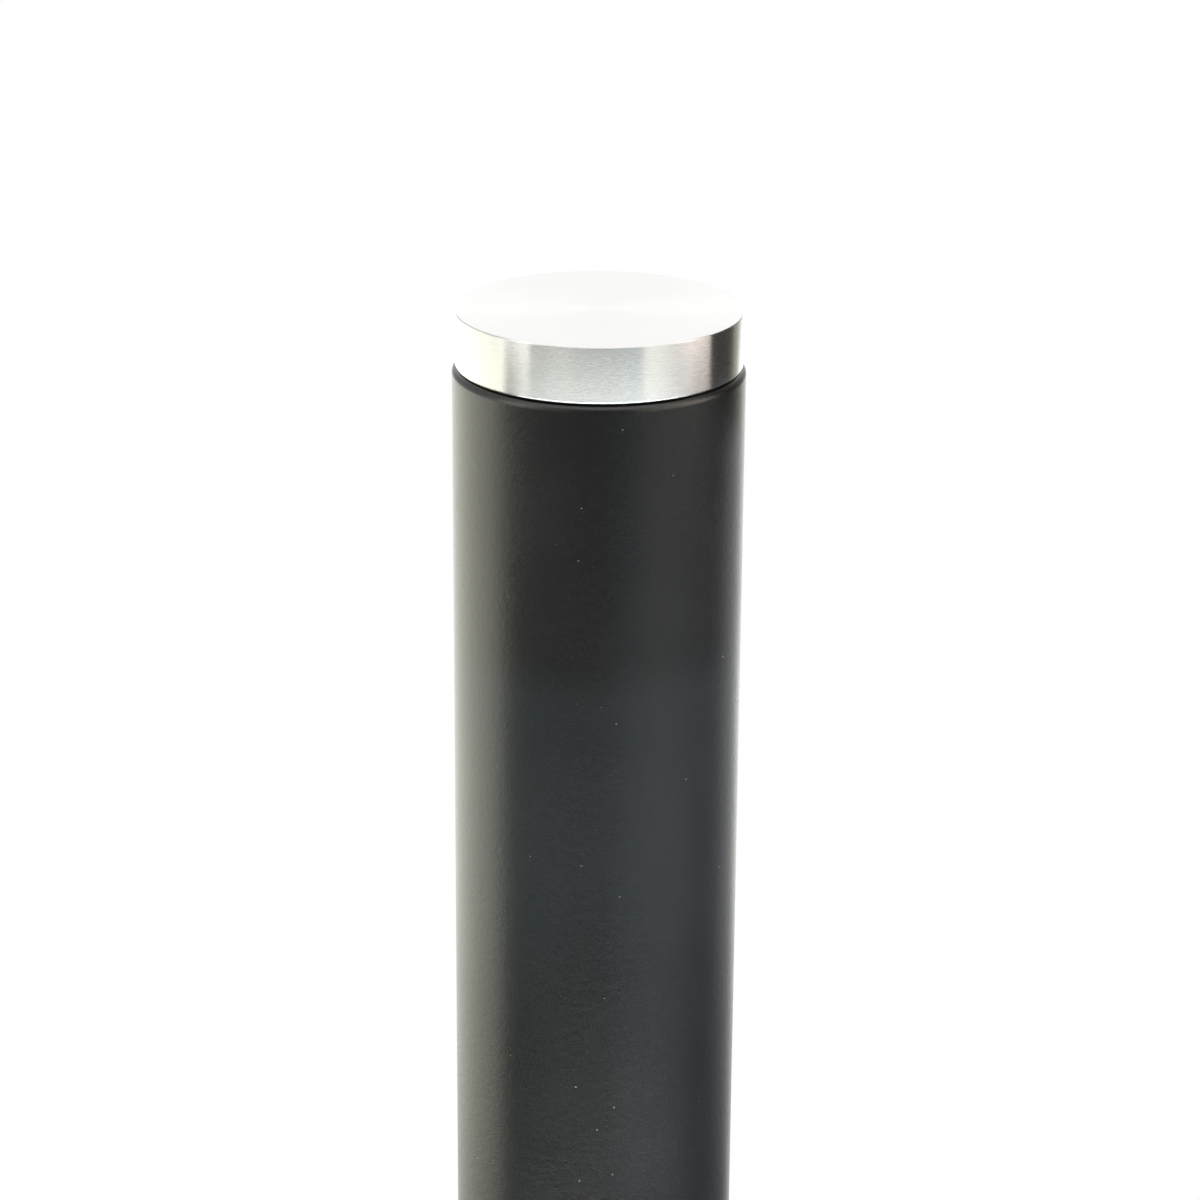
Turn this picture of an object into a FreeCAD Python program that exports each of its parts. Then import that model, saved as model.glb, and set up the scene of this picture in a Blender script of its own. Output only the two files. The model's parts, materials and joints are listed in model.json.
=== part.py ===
import FreeCAD, Part

# A bolt-down steel safety bollard: a powder-coated round post with a polished metal cap.
#
# From the ground up it is a rubber ground pad, a round base plate with four anchor holes, the post
# tube with a fillet weld round its foot and four low gussets, and a pressed cover that hides the
# anchors and slides up the tube to reach them. At the top a thick turned disc closes the tube. It sits
# on the thin flange of a black nylon plug that centres it in the bore, and a stud pulls it down against
# a bar welded across the bore, so no fixing shows from outside.
#
# Millimetres, +Z up. The origin is the middle of the pad's underside, at ground level.

import math
import os

import Sketcher

# Driving sizes: name, value, meaning.
SIZES = [
    ("post_height", 1000.0, "ground to the top of the cap"),
    ("tube_diameter", 101.6, "outside of the post tube"),
    ("tube_wall", 4.0, "wall of the post tube"),
    ("rim_radius", 2.5, "rounding of the tube's upper outer edge"),
    ("bore_chamfer", 0.5, "lead-in at the top of the bore"),
    ("cap_thickness", 19.5, "polished disc, top face to underside"),
    ("cap_inset", 1.05, "radial step from the tube's outside in to the disc"),
    ("cap_top_bevel", 0.4, "edge break round the top face"),
    ("cap_low_radius", 0.8, "rounding of the disc's lower edge"),
    ("cap_solid_top", 4.0, "metal left above the tapped hole"),
    ("flange_thickness", 0.6, "plug flange that shows as a dark line"),
    ("flange_setback", 1.4, "radial step from the disc in to the flange"),
    ("plug_depth", 17.0, "plug below the rim of the tube"),
    ("plug_clearance", 0.25, "radial gap between plug and bore"),
    ("plug_web", 6.0, "plug's closed top, below the disc"),
    ("plug_wall", 8.0, "plug's skirt, radially"),
    ("boss_diameter", 30.0, "plug boss that centres the disc"),
    ("boss_height", 3.0, "plug boss above its flange"),
    ("boss_clearance", 0.2, "gap round and above the boss"),
    ("seal_section", 3.5, "thickness of each O-ring"),
    ("seal_depth", 5.0, "rim of the tube to the upper O-ring"),
    ("seal_pitch", 7.0, "upper O-ring to the lower one"),
    ("seal_gap", 0.05, "O-ring to bore, and to the groove's floor"),
    ("groove_play", 0.3, "groove beyond the O-ring, each side"),
    ("bridge_depth", 48.0, "rim of the tube to the top of the bridge bar"),
    ("bridge_width", 40.0, "bar welded across the bore"),
    ("bridge_thickness", 8.0, "bar welded across the bore"),
    ("bridge_fit", 0.3, "radial gap between the bar's ends and the bore"),
    ("bridge_hole_play", 1.5, "bar's hole over the stud, on diameter"),
    ("bridge_weld_leg", 5.0, "fillet along the bar's ends"),
    ("bridge_weld_margin", 2.0, "bar's corner to the end of its weld"),
    ("stud_diameter", 12.0, "cap stud"),
    ("stud_play", 0.6, "plug's hole over the stud, on diameter"),
    ("stud_end_gap", 0.5, "stud to the bottom of its tapped hole"),
    ("stud_bevel", 1.2, "lead-in at both ends of the stud"),
    ("stud_protrusion", 6.0, "stud below its nut"),
    ("thread_gap", 0.1, "tapped holes over the stud, on diameter"),
    ("washer_play", 1.0, "washer's hole over the stud, on diameter"),
    ("washer_width", 5.5, "plain washer, hole to edge"),
    ("washer_thickness", 2.5, "plain washer"),
    ("spring_play", 0.4, "spring washer's hole over the stud, on diameter"),
    ("spring_width", 4.2, "spring washer, hole to edge"),
    ("spring_thickness", 2.5, "spring washer, flattened"),
    ("spring_slit", 12.0, "spring washer's slit, in degrees"),
    ("nut_wall", 3.0, "stud to the nut's flat"),
    ("nut_height", 10.8, "cap nut"),
    ("nut_bevel", 1.0, "height of the nut's corner chamfer"),
    ("pad_thickness", 3.0, "rubber pad under the base plate"),
    ("pad_opening_step", 3.0, "pad's opening beyond the plate's, radially"),
    ("pad_hole_step", 1.0, "pad's anchor hole beyond the plate's, radially"),
    ("plate_thickness", 12.0, "base plate"),
    ("plate_bevel", 1.5, "edge break round the top of the plate"),
    ("plate_sill", 11.8, "plate inside the bore, round its opening"),
    ("anchor_hole", 14.0, "diameter, for M12 anchors"),
    ("anchor_offset", 29.2, "tube wall to the centre of an anchor"),
    ("anchor_edge", 25.0, "centre of an anchor to the plate's edge"),
    ("base_weld_leg", 6.0, "fillet round the foot of the tube"),
    ("gusset_thickness", 8.0, "stiffening gusset"),
    ("gusset_height", 45.0, "stiffening gusset, up the tube"),
    ("gusset_margin", 12.0, "gusset's end to the plate's edge"),
    ("gusset_nose", 8.0, "flat on top of a gusset, and upright at its end"),
    ("snipe_gap", 6.0, "cut corner of a gusset beyond the tube's weld"),
    ("gusset_weld_leg", 4.0, "fillets along the gussets"),
    ("cover_sheet", 2.0, "pressed sheet of the base cover"),
    ("cover_gap", 4.0, "plate's edge to the inside of the cover"),
    ("cover_headroom", 18.0, "top of the gussets to the inside of the cover"),
    ("cover_fall", 6.0, "slope of the cover's top, neck to shoulder"),
    ("cover_shoulder", 10.0, "outer rounding of the cover's shoulder"),
    ("cover_neck_gap", 2.2, "tube to the sheet's edge at the neck"),
    ("neck_flat", 1.5, "flat of the cover beyond the grommet's lip"),
    ("grommet_gap", 0.4, "running gap between grommet and tube"),
    ("grommet_lip", 4.0, "grommet's lip over the sheet, radially"),
    ("grommet_lip_height", 1.6, "grommet's lip above and below the sheet"),
]

ANCHORS = 4
GUSSETS = ("right", "back", "left", "front")
QUARTER_TURN = 90.0
DRILL_POINT = 0.6  # height of a drill's cone, as a share of its radius
TOLERANCE = 1e-4

# Sizes that follow from the driving ones, as expressions for the document.
TUBE_R = "(Sizes.tube_diameter / 2)"
BORE_R = f"({TUBE_R} - Sizes.tube_wall)"
STUD_R = "(Sizes.stud_diameter / 2)"

CAP_TOP = "Sizes.post_height"
CAP_UNDERSIDE = f"({CAP_TOP} - Sizes.cap_thickness)"
CAP_R = f"({TUBE_R} - Sizes.cap_inset)"
TAP_R = "((Sizes.stud_diameter + Sizes.thread_gap) / 2)"
TAP_POINT = f"({CAP_TOP} - Sizes.cap_solid_top)"
TAP_END = f"({TAP_POINT} - {DRILL_POINT} * {TAP_R})"
BOSS_R = "(Sizes.boss_diameter / 2)"

RIM = f"({CAP_UNDERSIDE} - Sizes.flange_thickness)"
PLUG_R = f"({BORE_R} - Sizes.plug_clearance)"
PLUG_END = f"({RIM} - Sizes.plug_depth)"
SEAL_RING_R = f"({BORE_R} - Sizes.seal_gap - Sizes.seal_section / 2)"
GROOVE_R = f"({SEAL_RING_R} - Sizes.seal_section / 2 - Sizes.seal_gap)"
GROOVE_HALF = "(Sizes.seal_section / 2 + Sizes.groove_play)"

BRIDGE_TOP = f"({RIM} - Sizes.bridge_depth)"
BRIDGE_UNDERSIDE = f"({BRIDGE_TOP} - Sizes.bridge_thickness)"
WASHER_UNDERSIDE = f"({BRIDGE_UNDERSIDE} - Sizes.washer_thickness)"
SPRING_UNDERSIDE = f"({WASHER_UNDERSIDE} - Sizes.spring_thickness)"
NUT_UNDERSIDE = f"({SPRING_UNDERSIDE} - Sizes.nut_height)"
NUT_FLAT = f"({STUD_R} + Sizes.nut_wall)"
NUT_CORNER = f"({NUT_FLAT} / cos(30))"

PLATE_UNDERSIDE = "Sizes.pad_thickness"
PLATE_TOP = "(Sizes.pad_thickness + Sizes.plate_thickness)"
ANCHOR_R = f"({TUBE_R} + Sizes.anchor_offset)"
PLATE_R = f"({ANCHOR_R} + Sizes.anchor_edge)"
OPENING_R = f"({BORE_R} - Sizes.plate_sill)"
SNIPE = "(Sizes.base_weld_leg + Sizes.snipe_gap)"
GUSSET_TOP = f"({PLATE_TOP} + Sizes.gusset_height)"
GUSSET_END = f"({PLATE_R} - Sizes.gusset_margin)"

COVER_INNER_R = f"({PLATE_R} + Sizes.cover_gap)"
COVER_R = f"({COVER_INNER_R} + Sizes.cover_sheet)"
COVER_CEILING = f"({GUSSET_TOP} + Sizes.cover_headroom)"
COVER_TOP = f"({COVER_CEILING} + Sizes.cover_sheet)"
NECK_R = f"({TUBE_R} + Sizes.cover_neck_gap)"
LIP_R = f"({NECK_R} + Sizes.grommet_lip)"
NECK_FLAT_R = f"({LIP_R} + Sizes.neck_flat)"

doc = FreeCAD.newDocument("bollard")


def make_sheet():
    """The driving sizes as a spreadsheet, one row each."""
    made = doc.addObject("Spreadsheet::Sheet", "Sizes")
    for row, (alias, value, meaning) in enumerate(SIZES, 1):
        made.set(f"A{row}", alias)
        made.set(f"B{row}", str(value))
        made.set(f"C{row}", meaning)
        made.setAlias(f"B{row}", alias)
    doc.recompute()
    return made


sheet = make_sheet()


def number(expression):
    """The value of an expression of the driving sizes."""
    return float(sheet.evalExpression(expression))


def labelled(piece, label):
    piece.Label = label
    return piece


# ---------------------------------------------------------------- PartDesign helpers


def new_body(label):
    return labelled(doc.addObject("PartDesign::Body", label), label)


def origin_plane(body, role):
    return next(f for f in body.Origin.OriginFeatures if f.Role == role)


def new_sketch(body, role):
    sketch = body.newObject("Sketcher::SketchObject", f"{body.Label}_sketch")
    sketch.AttachmentSupport = [(origin_plane(body, role), "")]
    sketch.MapMode = "FlatFace"
    return sketch


def fix_point(sketch, geometry, position, x, y):
    """Ties a point of the sketch to two expressions, measured from the sketch's origin."""
    for kind, axis, expression in (("DistanceX", -2, x), ("DistanceY", -1, y)):
        if expression == "0":
            sketch.addConstraint(Sketcher.Constraint("PointOnObject", geometry, position, axis))
        else:
            index = sketch.addConstraint(
                Sketcher.Constraint(kind, -1, 1, geometry, position, number(expression))
            )
            sketch.setExpression(f"Constraints[{index}]", expression)


def outline(body, role, corners):
    """A closed outline of straight edges. Each corner is a pair of expressions."""
    sketch = new_sketch(body, role)
    points = [FreeCAD.Vector(number(x), number(y), 0) for x, y in corners]
    following = points[1:] + points[:1]
    for start, end in zip(points, following):
        sketch.addGeometry(Part.LineSegment(start, end), False)
    for i in range(len(points)):
        sketch.addConstraint(Sketcher.Constraint("Coincident", i, 2, (i + 1) % len(points), 1))
    for i, (x, y) in enumerate(corners):
        fix_point(sketch, i, 1, x, y)
    return sketch


def circle(body, role, x, y, radius):
    sketch = new_sketch(body, role)
    centre = FreeCAD.Vector(number(x), number(y), 0)
    sketch.addGeometry(Part.Circle(centre, FreeCAD.Vector(0, 0, 1), number(radius)), False)
    fix_point(sketch, 0, 3, x, y)
    index = sketch.addConstraint(Sketcher.Constraint("Radius", 0, number(radius)))
    sketch.setExpression(f"Constraints[{index}]", radius)
    return sketch


def revolve(body, corners, angle="360"):
    """Turns an outline of (radius, height) corners about the Z axis, half of the angle to each side of +X."""
    sketch = outline(body, "XZ_Plane", corners)
    feature = body.newObject("PartDesign::Revolution", f"{body.Label}_turned")
    feature.Profile = sketch
    feature.ReferenceAxis = (sketch, ["V_Axis"])
    feature.Midplane = True
    feature.setExpression("Angle", angle)
    doc.recompute()
    return feature


def cut_through(body, sketch):
    """Cuts the sketch's outline through the whole body, both ways from its plane."""
    before = body.Shape.Volume
    feature = body.newObject("PartDesign::Pocket", f"{body.Label}_cut")
    feature.Profile = sketch
    feature.Type = "ThroughAll"
    feature.Midplane = True
    doc.recompute()
    if body.Shape.Volume >= before - TOLERANCE:
        raise RuntimeError(f"a cut in {body.Label} removed nothing")
    return feature


def repeat_around(body, feature, count, axis="N_Axis"):
    """Repeats a feature evenly about the Z axis. axis is what its sketch calls that axis."""
    pattern = body.newObject("PartDesign::PolarPattern", f"{body.Label}_pattern")
    pattern.Originals = [feature]
    pattern.Axis = (feature.Profile[0], [axis])
    pattern.Angle = 360
    pattern.Occurrences = count
    body.Tip = pattern
    doc.recompute()
    return pattern


def ring_edges(feature, radius, height):
    """Names of the feature's circular edges of that radius at that height."""
    names = []
    for i, edge in enumerate(feature.Shape.Edges, 1):
        curve = edge.Curve
        if (
            isinstance(curve, Part.Circle)
            and abs(curve.Radius - number(radius)) < TOLERANCE
            and abs(curve.Center.z - number(height)) < TOLERANCE
        ):
            names.append(f"Edge{i}")
    return names


def round_edge(body, feature, radius, height, size):
    """Rounds the ring edge of that radius and height."""
    fillet = body.newObject("PartDesign::Fillet", f"{body.Label}_fillet")
    fillet.Base = (feature, ring_edges(feature, radius, height))
    fillet.setExpression("Radius", size)
    doc.recompute()
    return fillet


# ---------------------------------------------------------------- Part helpers


def primitive(kind, name, height=None, **sizes):
    """A Part primitive with its sizes, and its height above the ground, bound to expressions."""
    made = doc.addObject(kind, name)
    for size, expression in sizes.items():
        made.setExpression(size, expression)
    if height is not None:
        made.setExpression("Placement.Base.z", height)
    return made


def right_triangle(corner, leg_a, leg_b):
    """The face of a fillet weld: its corner and the ends of its two legs."""
    outline_wire = Part.makePolygon([corner, corner + leg_a, corner + leg_b, corner])
    return Part.Face(outline_wire)


# ---------------------------------------------------------------- foot of the post


def ground_pad():
    body = new_body("ground_pad")
    inner = f"{OPENING_R} + Sizes.pad_opening_step"
    revolve(
        body,
        [(inner, "0"), (PLATE_R, "0"), (PLATE_R, PLATE_UNDERSIDE), (inner, PLATE_UNDERSIDE)],
    )
    add_anchor_holes(body, "Sizes.anchor_hole / 2 + Sizes.pad_hole_step")
    return body


def base_plate():
    body = new_body("base_plate")
    revolve(
        body,
        [
            (OPENING_R, PLATE_UNDERSIDE),
            (PLATE_R, PLATE_UNDERSIDE),
            (PLATE_R, f"{PLATE_TOP} - Sizes.plate_bevel"),
            (f"{PLATE_R} - Sizes.plate_bevel", PLATE_TOP),
            (OPENING_R, PLATE_TOP),
        ],
    )
    add_anchor_holes(body, "Sizes.anchor_hole / 2")
    return body


def add_anchor_holes(body, radius):
    """The four anchor holes, midway between the gussets."""
    diagonal = f"{ANCHOR_R} * cos(45)"
    hole = cut_through(body, circle(body, "XY_Plane", diagonal, diagonal, radius))
    repeat_around(body, hole, ANCHORS)


def post_tube():
    """The round post, from the base plate to the rim under the cap."""
    body = new_body("post_tube")
    turned = revolve(
        body,
        [
            (BORE_R, PLATE_TOP),
            (TUBE_R, PLATE_TOP),
            (TUBE_R, RIM),
            (f"{BORE_R} + Sizes.bore_chamfer", RIM),
            (BORE_R, f"{RIM} - Sizes.bore_chamfer"),
        ],
    )
    round_edge(body, turned, TUBE_R, RIM, "Sizes.rim_radius")
    return body


def base_weld():
    """The fillet weld between the tube and its plate."""
    body = new_body("base_weld")
    revolve(
        body,
        [
            (TUBE_R, PLATE_TOP),
            (f"{TUBE_R} + Sizes.base_weld_leg", PLATE_TOP),
            (TUBE_R, f"{PLATE_TOP} + Sizes.base_weld_leg"),
        ],
    )
    return body


def gusset(side, angle):
    """A low triangular stiffener. Its inner corner is cut away to clear the weld of the tube."""
    body = new_body(f"gusset_{side}")
    profile = outline(
        body,
        "XZ_Plane",
        [
            (f"{TUBE_R} + {SNIPE}", PLATE_TOP),
            (GUSSET_END, PLATE_TOP),
            (GUSSET_END, f"{PLATE_TOP} + Sizes.gusset_nose"),
            (f"{TUBE_R} + Sizes.gusset_nose", GUSSET_TOP),
            (TUBE_R, GUSSET_TOP),
            (TUBE_R, f"{PLATE_TOP} + {SNIPE}"),
        ],
    )
    pad = body.newObject("PartDesign::Pad", f"{body.Label}_pad")
    pad.Profile = profile
    pad.Midplane = True
    pad.setExpression("Length", "Sizes.gusset_thickness")
    body.Placement.Rotation = FreeCAD.Rotation(FreeCAD.Vector(0, 0, 1), angle)
    doc.recompute()
    return body


def gusset_welds():
    """Fillet welds on both sides of every gusset, along the plate and up the tube."""
    leg = number("Sizes.gusset_weld_leg")
    face_y = number("Sizes.gusset_thickness") / 2
    tube_r = number(TUBE_R)
    plate_top = number(PLATE_TOP)
    gusset_top = number(GUSSET_TOP)
    snipe = number(SNIPE)
    gusset_end = number(GUSSET_END)
    along_x, along_y, along_z = (FreeCAD.Vector(*v) for v in ((1, 0, 0), (0, 1, 0), (0, 0, 1)))

    on_plate = right_triangle(
        FreeCAD.Vector(tube_r + snipe, face_y, plate_top), along_y * leg, along_z * leg
    ).extrude(along_x * (gusset_end - tube_r - snipe))

    # The upright bead starts inside the tube and is trimmed to its round face.
    wall_x = math.sqrt(tube_r**2 - (face_y + leg) ** 2)
    depth = tube_r - wall_x
    reach = leg + depth
    up_tube = right_triangle(
        FreeCAD.Vector(wall_x, face_y, plate_top + snipe), along_x * reach, along_y * leg
    ).extrude(along_z * (gusset_top - plate_top - snipe))
    tube_face = Part.makeCylinder(tube_r, gusset_top, FreeCAD.Vector(0, 0, 0), along_z)
    up_tube = up_tube.cut(tube_face)

    one_side = [on_plate, up_tube.Solids[0]]
    other_side = [bead.mirror(FreeCAD.Vector(0, 0, 0), along_y) for bead in one_side]
    beads = []
    for quarter in range(len(GUSSETS)):
        for bead in one_side + other_side:
            turned = bead.copy()
            turned.rotate(FreeCAD.Vector(0, 0, 0), along_z, quarter * QUARTER_TURN)
            beads.append(turned)
    made = labelled(doc.addObject("Part::Feature", "gusset_welds"), "gusset_welds")
    made.Shape = Part.makeCompound(beads)
    return made


# ---------------------------------------------------------------- sliding cover


def base_cover():
    """A pressed cover over the anchors. Its top slopes from a flat neck to a rounded shoulder."""
    body = new_body("base_cover")
    turned = revolve(
        body,
        [
            (NECK_R, COVER_CEILING),
            (NECK_R, COVER_TOP),
            (NECK_FLAT_R, COVER_TOP),
            (COVER_R, f"{COVER_TOP} - Sizes.cover_fall"),
            (COVER_R, "0"),
            (COVER_INNER_R, "0"),
            (COVER_INNER_R, f"{COVER_CEILING} - Sizes.cover_fall"),
            (NECK_FLAT_R, COVER_CEILING),
        ],
    )
    outer = round_edge(
        body, turned, COVER_R, f"{COVER_TOP} - Sizes.cover_fall", "Sizes.cover_shoulder"
    )
    round_edge(
        body,
        outer,
        COVER_INNER_R,
        f"{COVER_CEILING} - Sizes.cover_fall",
        "Sizes.cover_shoulder - Sizes.cover_sheet",
    )
    return body


def cover_grommet():
    """A rubber ring clipped round the neck's edge, which keeps the sheet off the coated tube."""
    body = new_body("cover_grommet")
    inner = f"{TUBE_R} + Sizes.grommet_gap"
    low = f"{COVER_CEILING} - Sizes.grommet_lip_height"
    high = f"{COVER_TOP} + Sizes.grommet_lip_height"
    revolve(
        body,
        [
            (inner, low),
            (LIP_R, low),
            (LIP_R, COVER_CEILING),
            (NECK_R, COVER_CEILING),
            (NECK_R, COVER_TOP),
            (LIP_R, COVER_TOP),
            (LIP_R, high),
            (inner, high),
        ],
    )
    return body


# ---------------------------------------------------------------- cap and its fixing


def cap():
    """The polished disc, with a tapped hole and a recess for the plug's boss in its underside."""
    body = new_body("cap")
    recess_r = f"{BOSS_R} + Sizes.boss_clearance"
    recess_top = f"{CAP_UNDERSIDE} + Sizes.boss_height + Sizes.boss_clearance"
    turned = revolve(
        body,
        [
            ("0", CAP_TOP),
            (f"{CAP_R} - Sizes.cap_top_bevel", CAP_TOP),
            (CAP_R, f"{CAP_TOP} - Sizes.cap_top_bevel"),
            (CAP_R, CAP_UNDERSIDE),
            (recess_r, CAP_UNDERSIDE),
            (recess_r, recess_top),
            (TAP_R, recess_top),
            (TAP_R, TAP_END),
            ("0", TAP_POINT),
        ],
    )
    round_edge(body, turned, CAP_R, CAP_UNDERSIDE, "Sizes.cap_low_radius")
    return body


def cap_plug():
    """The black nylon plug: flange on the rim, two seal grooves in the bore, boss in the cap."""
    body = new_body("cap_plug")
    hole_r = "(Sizes.stud_diameter + Sizes.stud_play) / 2"
    flange_r = f"{CAP_R} - Sizes.flange_setback"
    boss_top = f"{CAP_UNDERSIDE} + Sizes.boss_height"
    web_underside = f"{CAP_UNDERSIDE} - Sizes.plug_web"
    skirt_inner = f"{PLUG_R} - Sizes.plug_wall"
    grooves = []
    for middle in seal_heights():
        grooves += [
            (PLUG_R, f"{middle} + {GROOVE_HALF}"),
            (GROOVE_R, f"{middle} + {GROOVE_HALF}"),
            (GROOVE_R, f"{middle} - {GROOVE_HALF}"),
            (PLUG_R, f"{middle} - {GROOVE_HALF}"),
        ]
    revolve(
        body,
        [
            (hole_r, boss_top),
            (BOSS_R, boss_top),
            (BOSS_R, CAP_UNDERSIDE),
            (flange_r, CAP_UNDERSIDE),
            (flange_r, RIM),
            (PLUG_R, RIM),
            *grooves,
            (PLUG_R, PLUG_END),
            (skirt_inner, PLUG_END),
            (skirt_inner, web_underside),
            (hole_r, web_underside),
        ],
    )
    return body


def seal_heights():
    """Heights of the two O-rings, upper one first."""
    upper = f"({RIM} - Sizes.seal_depth)"
    return [upper, f"({upper} - Sizes.seal_pitch)"]


def plug_seals():
    rings = [
        primitive(
            "Part::Torus",
            f"seal_ring_{i}",
            height,
            Radius1=SEAL_RING_R,
            Radius2="Sizes.seal_section / 2",
        )
        for i, height in enumerate(seal_heights(), 1)
    ]
    made = labelled(doc.addObject("Part::Compound", "plug_seals"), "plug_seals")
    made.Links = rings
    return made


def bridge_bar():
    """A flat bar across the bore, round-ended to fit it, with a hole for the stud."""
    blank = primitive(
        "Part::Box",
        "bridge_blank",
        BRIDGE_UNDERSIDE,
        Length=f"2 * {BORE_R}",
        Width="Sizes.bridge_width",
        Height="Sizes.bridge_thickness",
    )
    blank.setExpression("Placement.Base.x", f"-{BORE_R}")
    blank.setExpression("Placement.Base.y", "-Sizes.bridge_width / 2")
    ends = primitive(
        "Part::Cylinder",
        "bridge_ends",
        BRIDGE_UNDERSIDE,
        Radius=f"{BORE_R} - Sizes.bridge_fit",
        Height="Sizes.bridge_thickness",
    )
    fitted = doc.addObject("Part::Common", "bridge_fitted")
    fitted.Base, fitted.Tool = blank, ends
    hole = primitive(
        "Part::Cylinder",
        "bridge_hole",
        BRIDGE_UNDERSIDE,
        Radius="(Sizes.stud_diameter + Sizes.bridge_hole_play) / 2",
        Height="Sizes.bridge_thickness",
    )
    made = labelled(doc.addObject("Part::Cut", "bridge_bar"), "bridge_bar")
    made.Base, made.Tool = fitted, hole
    return made


def bridge_welds():
    """A fillet along each end of the bar, on its upper face."""
    body = new_body("bridge_welds")
    half_width = "(Sizes.bridge_width / 2 - Sizes.bridge_weld_margin)"
    bead = revolve(
        body,
        [
            (BORE_R, BRIDGE_TOP),
            (BORE_R, f"{BRIDGE_TOP} + Sizes.bridge_weld_leg"),
            (f"{BORE_R} - Sizes.bridge_weld_leg", BRIDGE_TOP),
        ],
        angle=f"2 * asin({half_width} / {BORE_R})",
    )
    repeat_around(body, bead, 2, axis="V_Axis")
    return body


def cap_stud():
    """The threaded stud from the cap down through the bar. The thread is a plain cylinder."""
    body = new_body("cap_stud")
    top = f"{TAP_END} - Sizes.stud_end_gap"
    end = f"{NUT_UNDERSIDE} - Sizes.stud_protrusion"
    tip_r = f"{STUD_R} - Sizes.stud_bevel"
    revolve(
        body,
        [
            ("0", end),
            (tip_r, end),
            (STUD_R, f"{end} + Sizes.stud_bevel"),
            (STUD_R, f"{top} - Sizes.stud_bevel"),
            (tip_r, top),
            ("0", top),
        ],
    )
    return body


def ring(label, play, width, underside, top, angle="360"):
    """A flat ring round the stud: a play on diameter, and a width from hole to edge."""
    body = new_body(label)
    inner = f"(Sizes.stud_diameter + Sizes.{play}) / 2"
    outer = f"{inner} + Sizes.{width}"
    revolve(body, [(inner, underside), (outer, underside), (outer, top), (inner, top)], angle)
    return body


def cap_washer():
    return ring("cap_washer", "washer_play", "washer_width", WASHER_UNDERSIDE, BRIDGE_UNDERSIDE)


def cap_spring_washer():
    """A split washer, squeezed flat."""
    return ring(
        "cap_spring_washer",
        "spring_play",
        "spring_width",
        SPRING_UNDERSIDE,
        WASHER_UNDERSIDE,
        "360 - Sizes.spring_slit",
    )


def cap_nut():
    """A hexagon nut: a chamfered round blank with six flats cut on it."""
    body = new_body("cap_nut")
    low_bevel = f"{NUT_UNDERSIDE} + Sizes.nut_bevel"
    high_bevel = f"{SPRING_UNDERSIDE} - Sizes.nut_bevel"
    revolve(
        body,
        [
            (TAP_R, NUT_UNDERSIDE),
            (NUT_FLAT, NUT_UNDERSIDE),
            (NUT_CORNER, low_bevel),
            (NUT_CORNER, high_bevel),
            (NUT_FLAT, SPRING_UNDERSIDE),
            (TAP_R, SPRING_UNDERSIDE),
        ],
    )
    beyond = f"2 * {NUT_CORNER}"
    outside_flat = outline(
        body,
        "XY_Plane",
        [
            (NUT_FLAT, f"-{NUT_CORNER}"),
            (beyond, f"-{NUT_CORNER}"),
            (beyond, NUT_CORNER),
            (NUT_FLAT, NUT_CORNER),
        ],
    )
    repeat_around(body, cut_through(body, outside_flat), 6)
    return body


# ---------------------------------------------------------------- the whole bollard


def build():
    pieces = [ground_pad(), base_plate(), base_weld(), post_tube()]
    pieces += [gusset(side, i * QUARTER_TURN) for i, side in enumerate(GUSSETS)]
    pieces += [gusset_welds(), base_cover(), cover_grommet()]
    pieces += [cap(), cap_plug(), plug_seals(), bridge_bar(), bridge_welds()]
    pieces += [cap_stud(), cap_washer(), cap_spring_washer(), cap_nut()]
    doc.recompute()
    return pieces


def check(pieces):
    """Stops the build if any object failed or any piece isn't a valid solid."""
    for item in doc.Objects:
        if "Invalid" in item.State or "Error" in item.State:
            raise RuntimeError(f"{item.Label} failed: {item.State}")
    for piece in pieces:
        shape = piece.Shape
        if shape.isNull() or not shape.isValid() or not shape.Solids:
            raise RuntimeError(f"{piece.Label} has no valid solid")


def export(pieces):
    os.makedirs("parts", exist_ok=True)
    for piece in pieces:
        piece.Shape.exportStep(f"parts/{piece.Label}.step")
        solids = piece.Shape.Solids
        volume = sum(solid.Volume for solid in solids)
        print(f"{piece.Label:20s} {len(solids):3d} solids {volume / 1000:10.2f} cm3")


bollard = build()
check(bollard)
export(bollard)
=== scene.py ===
import json
import math

import bmesh
import bpy
from mathutils import Matrix, Quaternion, Vector


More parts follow.
